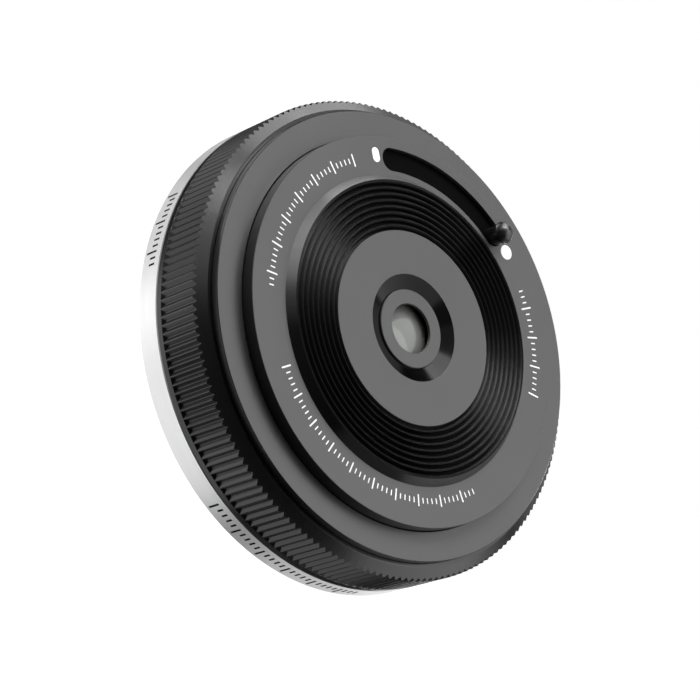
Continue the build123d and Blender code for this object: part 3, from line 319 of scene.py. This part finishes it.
FACE = ((0.048, 0.048, 0.0485), 0.36, 0.57)
WALL = ((0.020, 0.020, 0.020), 0.22, 0.67)
SATIN = anodised("satin_black_face", FACE[0], FACE[1], 0.22, FACE[2])
PLATE = split_finish("front_plate_face_and_wall", lambda mn, r, z: mn("LESS_THAN", r, value=0.02444), FACE, WALL)
RIM = split_finish("front_rim_face_and_wall", lambda mn, r, z: mn("LESS_THAN", r, value=0.02810), FACE, WALL)
DISC = split_finish("centre_disc_face_and_sink", lambda mn, r, z: mn("GREATER_THAN", r, value=0.00672), FACE, ((0.001, 0.001, 0.001), 0.13, 0.15))
KNURL = split_finish(
    "grip_knurl_and_chamfer", lambda mn, r, z: mn("LESS_THAN", z, value=0.01037),
    ((0.005, 0.005, 0.005), 0.30, 0.56), ((0.006, 0.006, 0.006), 0.22, 0.57))
DARK = anodised("matt_black_inside", (0.0010, 0.0010, 0.0010), 0.80, 0.20, 0.02)
BLADE = anodised("dry_film_blade", (0.0014, 0.0014, 0.0014), 0.75, 0.15, 0.03)


def lever_finish():
    """Polished black knob; only a very faint drift in tone and gloss."""
    mt, nt, b = material("polished_black_lever")
    fine, broad = grain(nt, 1400.0)
    tone(nt, b, remap(nt, broad.outputs["Fac"], 0.3, 0.7, 0.0, 1.0), (0.009, 0.009, 0.009), (0.012, 0.012, 0.012))
    link(nt, remap(nt, fine.outputs["Fac"], 0.3, 0.7, 0.26, 0.30), b.inputs["Roughness"])
    b.inputs["Specular IOR Level"].default_value = 0.62
    return mt


LEVER = lever_finish()


def turned_ribs():
    """Deep black, lathe-turned: the fine rings draw the gloss out radially."""
    mt, nt, b = material("turned_black_ribs")
    b.inputs["Specular IOR Level"].default_value = 0.58
    b.inputs["Anisotropic"].default_value = 0.9
    b.inputs["Anisotropic Rotation"].default_value = 0.25
    tangent = nt.nodes.new("ShaderNodeTangent")
    tangent.direction_type = "RADIAL"
    tangent.axis = "Z"
    link(nt, tangent.outputs[0], b.inputs["Tangent"])
    fine, broad = grain(nt)
    tone(nt, b, remap(nt, broad.outputs["Fac"], 0.3, 0.7, 0.0, 1.0), (0.0045, 0.0045, 0.0045), (0.0055, 0.0055, 0.0055))
    link(nt, remap(nt, fine.outputs["Fac"], 0.3, 0.7, 0.27, 0.33), b.inputs["Roughness"])
    return mt


RIBS = turned_ribs()


def brushed(name, colour, rough, spread, depth):
    """Metal with fine brushing round the axis."""
    mt, nt, b = material(name)
    b.inputs["Metallic"].default_value = 1.0
    b.inputs["Anisotropic"].default_value = 0.35
    vec, r, z, mn = polar_vector(nt, 26000.0, 1.2, 26000.0)
    streak = noise(nt, vec, 1.0, 4.0, 0.6)
    vec2, r2, z2, mn2 = polar_vector(nt, 900.0, 2.0, 900.0)
    drift = noise(nt, vec2, 1.0, 2.0, 0.5)
    mix = nt.nodes.new("ShaderNodeMix")
    mix.data_type = "RGBA"
    link(nt, remap(nt, drift.outputs["Fac"], 0.3, 0.7, 0.0, 1.0), mix.inputs["Factor"])
    mix.inputs["A"].default_value = (*[c * 0.95 for c in colour], 1)
    mix.inputs["B"].default_value = (*colour, 1)
    link(nt, mix.outputs["Result"], b.inputs["Base Color"])
    link(nt, remap(nt, streak.outputs["Fac"], 0.3, 0.7, rough - spread, rough + spread), b.inputs["Roughness"])
    bump(nt, b, streak.outputs["Fac"], depth, 0.00001)
    return mt


SILVER = brushed("brushed_silver_ring", (0.90, 0.90, 0.905), 0.34, 0.06, 0.25)
CHROME = brushed("turned_chrome_mount", (0.86, 0.86, 0.87), 0.20, 0.05, 0.15)
STEEL = brushed("screw_steel", (0.62, 0.62, 0.63), 0.28, 0.06, 0.2)
GOLD = brushed("contact_gold", (0.95, 0.70, 0.32), 0.18, 0.04, 0.1)
COPPER = brushed("coil_copper", (0.78, 0.38, 0.20), 0.35, 0.08, 0.4)
NICKEL = brushed("magnet_nickel", (0.68, 0.66, 0.62), 0.25, 0.05, 0.1)


def moulded(name, colour, rough, grain, scale=2600.0):
    mt, nt, b = material(name)
    tc, mp = coords(nt)
    fine = noise(nt, mp.outputs[0], scale, 3.0, 0.55)
    broad = noise(nt, mp.outputs[0], 160.0, 2.0, 0.5)
    mix = nt.nodes.new("ShaderNodeMix")
    mix.data_type = "RGBA"
    link(nt, remap(nt, broad.outputs["Fac"], 0.3, 0.7, 0.0, 1.0), mix.inputs["Factor"])
    mix.inputs["A"].default_value = (*[c * 0.9 for c in colour], 1)
    mix.inputs["B"].default_value = (*[c * 1.1 for c in colour], 1)
    link(nt, mix.outputs["Result"], b.inputs["Base Color"])
    link(nt, remap(nt, fine.outputs["Fac"], 0.3, 0.7, rough - 0.05, rough + 0.05), b.inputs["Roughness"])
    bump(nt, b, fine.outputs["Fac"], grain, 0.00003)
    return mt


PLASTIC = moulded("black_moulding", (0.020, 0.020, 0.021), 0.50, 0.35)
CHASSIS = moulded("chassis_moulding", (0.016, 0.016, 0.017), 0.55, 0.4)
ENAMEL = moulded("white_enamel", (0.86, 0.86, 0.855), 0.32, 0.12, 1800.0)
BOARD = moulded("board_green", (0.03, 0.16, 0.07), 0.35, 0.2)
CHIP = moulded("chip_black", (0.02, 0.02, 0.02), 0.45, 0.3)
AMBER = moulded("flex_amber", (0.55, 0.27, 0.05), 0.30, 0.1)


def glass(name, tint_or_painted_reflection, film, clear=1.0, rough=0.02):
    """Coated optical glass; the film's colour comes up at a slant."""
    mt, nt, b = material(name)
    # The base colour is the glass's own tint, except on the front element, where it is a painted reflection.
    b.inputs["Base Color"].default_value = (*tint_or_painted_reflection, 1)
    b.inputs["Roughness"].default_value = rough
    b.inputs["IOR"].default_value = 1.62
    b.inputs["Transmission Weight"].default_value = clear
    b.inputs["Specular Tint"].default_value = (*film, 1)
    tc, mp = coords(nt)
    n = noise(nt, mp.outputs[0], 420.0, 2.0, 0.5)
    bump(nt, b, n.outputs["Fac"], 0.01, 0.00001)
    return mt


GLASS = glass("coated_glass", (0.96, 0.97, 0.97), (0.95, 0.90, 0.93))
# Front element: its grey base colour on a half-clear body is a painted reflection, standing in for the panels mirrored
# in the glass and the light bounced inside the lens.
FRONT_GLASS_PAINTED_REFLECTION = glass("coated_front_glass_with_painted_reflection", (0.28, 0.288, 0.276), (0.94, 0.97, 0.93), 0.45, 0.02)

BY_SLOT = {
    "chrome_mount": CHROME, "silver_ring": SILVER, "black_knurl": KNURL, "black_anodised": SATIN,
    "black_ribs": RIBS, "black_lever": LEVER, "white_enamel": ENAMEL, "black_moulding": PLASTIC,
    "chassis_metal": CHASSIS, "inner_black": DARK, "gold_contact": GOLD, "screw_steel": STEEL,
    "blade_steel": BLADE, "coated_glass": GLASS, "copper_coil": COPPER, "magnet_nickel": NICKEL,
    "green_board": BOARD, "chip_black": CHIP, "amber_flex": AMBER,
}
slot_of = {s["node"]: s["material_slot"] for s in frame["record"]["subparts"]}
for name, ob in nodes.items():
    me = ob.data
    mat = BY_SLOT[slot_of[name]]
    mat = {"centre_disc": DISC, "front_plate": PLATE, "front_rim": RIM, "lens_front": FRONT_GLASS_PAINTED_REFLECTION}.get(name, mat)
    me.materials.clear()
    me.materials.append(mat)
    for p in me.polygons:
        p.use_smooth = True
    me.set_sharp_from_angle(angle=math.radians(12 if name == "grip_ring" else 22))


# -------------------------------------------------- generic scales and marks
Z_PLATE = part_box("front_plate")[1].z
R_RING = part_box("mount_ring")[1].x


def flat_stroke(bm, r0, r1, angle, half, z, t):
    """A stroke with rounded ends lying on the plate along the radius."""
    c, s = math.cos(angle), math.sin(angle)
    pts = []
    n = 6
    for i in range(n + 1):
        a = -math.pi / 2 + math.pi * i / n
        pts.append((r1 - half + half * math.cos(a), half * math.sin(a)))
    for i in range(n + 1):
        a = math.pi / 2 + math.pi * i / n
        pts.append((r0 + half + half * math.cos(a), half * math.sin(a)))
    low = [bm.verts.new((x * c - y * s, x * s + y * c, z)) for x, y in pts]
    top = [bm.verts.new((x * c - y * s, x * s + y * c, z + t)) for x, y in pts]
    bm.faces.new(top)
    bm.faces.new(list(reversed(low)))
    for i in range(len(pts)):
        j = (i + 1) % len(pts)
        bm.faces.new((low[i], low[j], top[j], top[i]))


def finish_piece(name, bm, mat, body="housing"):
    me = bpy.data.meshes.new(name)
    bm.normal_update()
    bm.to_mesh(me)
    bm.free()
    me.materials.append(mat)
    ob = bpy.data.objects.new(name, me)
    scene.collection.objects.link(ob)
    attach(ob, body)
    return ob


def plate_scale(name, start, end, r_in, r_out, step):
    bm = bmesh.new()
    n = int(round((end - start) / step))
    for i in range(n + 1):
        a = math.radians(start + (end - start) * i / n)
        if i % 5 == 0:
            flat_stroke(bm, r_in * MM, r_out * MM, a, 0.10 * MM, Z_PLATE - 0.000004, 0.000014)
        else:
            mid = (r_in + r_out) / 2
            flat_stroke(bm, (mid - 0.36) * MM, (mid + 0.36) * MM, a, 0.08 * MM, Z_PLATE - 0.000004, 0.000014)
    ob = finish_piece(name, bm, ENAMEL)
    black_set.objects.link(ob)
    return ob


plate_scale("scale_a", -47.9, 16.1, 20.75, 22.40, 2.0)
plate_scale("scale_b", 42.5, 137.5, 20.40, 21.90, 2.0)
plate_scale("scale_c", -172.5, -136.1, 20.75, 22.50, 2.0)


def ring_scale(name, start, end, z0, z1, step):
    """Thin engraved strokes on the bright ring's wall."""
    bm = bmesh.new()
    n = int(round((end - start) / step))
    for i in range(n + 1):
        a = math.radians(start + (end - start) * i / n)
        long = i % 5 == 0
        lo, hi = (z0, z1) if long else (z0 + 0.45 * (z1 - z0), z1)
        half = 0.13 * MM / R_RING
        cols = []
        for k in range(3):
            b = a + half * (k - 1)
            cols.append([
                bm.verts.new(((R_RING - 0.000004) * math.cos(b), (R_RING - 0.000004) * math.sin(b), lo * MM)),
                bm.verts.new(((R_RING + 0.000008) * math.cos(b), (R_RING + 0.000008) * math.sin(b), lo * MM)),
                bm.verts.new(((R_RING + 0.000008) * math.cos(b), (R_RING + 0.000008) * math.sin(b), hi * MM)),
                bm.verts.new(((R_RING - 0.000004) * math.cos(b), (R_RING - 0.000004) * math.sin(b), hi * MM)),
            ])
        for k in range(2):
            for j in range(4):
                jj = (j + 1) % 4
                bm.faces.new((cols[k][j], cols[k + 1][j], cols[k + 1][jj], cols[k][jj]))
        bm.faces.new(cols[0][::-1])
        bm.faces.new(cols[2])
    bmesh.ops.recalc_face_normals(bm, faces=bm.faces)
    ob = finish_piece(name, bm, INK)
    black_set.objects.link(ob)
    return ob


INK = anodised("engraving_black", (0.003, 0.003, 0.003), 0.60, 0.10, 0.10)
ring_scale("ring_scale_a", -10.3, 9.3, 0.75, 2.55, 1.6)
ring_scale("ring_scale_b", 67.5, 112.0, 0.75, 2.55, 1.6)

# -------------------------------------------------------------------- stage
low = min(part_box(n)[0].z for n in nodes)
bm = bmesh.new()
profile = [(r, 0.0) for r in (0.05, 0.1, 0.2, 0.4, 0.8, 1.6, 3.0)]
profile += [(3.0 + math.sin(math.radians(t)), 1.0 - math.cos(math.radians(t))) for t in range(10, 91, 10)]
profile += [(4.0 * math.cos(math.radians(t)), 1.0 + 3.0 * math.sin(math.radians(t))) for t in range(10, 90, 10)]
cols = 48
centre = bm.verts.new((0, 0, low))
crown = bm.verts.new((0, 0, low + 4.0))
prev = None
for r, rise in profile:
    cur = [bm.verts.new((r * math.cos(2 * math.pi * i / cols), r * math.sin(2 * math.pi * i / cols), low + rise)) for i in range(cols)]
    for i in range(cols):
        j = (i + 1) % cols
        if prev is None:
            bm.faces.new((centre, cur[i], cur[j]))
        else:
            bm.faces.new((prev[i], cur[i], cur[j], prev[j]))
    prev = cur
for i in range(cols):
    bm.faces.new((prev[i], crown, prev[(i + 1) % cols]))
me = bpy.data.meshes.new("floor")
bm.to_mesh(me)
bm.free()
floor = bpy.data.objects.new("floor", me)
scene.collection.objects.link(floor)
mt, nt, b = material("pale_floor")
b.inputs["Base Color"].default_value = (0.6, 0.6, 0.6, 1)
b.inputs["Roughness"].default_value = 0.9
b.inputs["Specular IOR Level"].default_value = 0.0
b.inputs["Emission Color"].default_value = (1, 1, 1, 1)
b.inputs["Emission Strength"].default_value = 1.0
me.materials.append(mt)
floor.visible_glossy = False
floor.visible_diffuse = False
floor.visible_shadow = False
floor.visible_transmission = False
